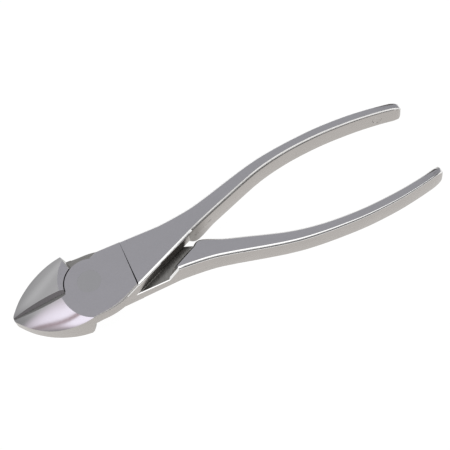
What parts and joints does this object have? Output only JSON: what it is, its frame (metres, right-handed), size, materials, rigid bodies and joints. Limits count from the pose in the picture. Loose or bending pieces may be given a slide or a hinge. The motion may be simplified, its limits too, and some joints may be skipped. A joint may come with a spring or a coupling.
{
  "type": "sprue nippers",
  "caption": "All-steel diagonal sprue nippers with a lapped round joint, a flush-ground pivot and slim bowed handles.",
  "frame": {"origin": "bottom centre of the closed tool's bounding box: under the middle of its length, on the plane it lies on", "axes": "+X from the jaws to the handle ends, +Z along the pivot axis out of the front face, +Y towards the front half's handle"},
  "size_m": [0.15, 0.0398, 0.0095],
  "materials": {
    "front_half_steel": "satin-ground stainless steel, polished edges and jaw",
    "rear_half_steel": "satin-ground stainless steel, polished edges and jaw",
    "rivet_steel": "stainless rivet ground flush with the joint faces"
  },
  "bodies": {
    "rear_body": {"rear_half": "rear_half_steel", "pivot_rivet": "rivet_steel"},
    "front_body": {"front_half": "front_half_steel"}
  },
  "joints": [
    {"name": "pivot", "type": "hinge", "parent": "rear_body", "child": "front_body", "pos_m": [-0.0475, 0, 0.00475], "axis": [0, 0, 1], "range_deg": [0, 36]}
  ]
}
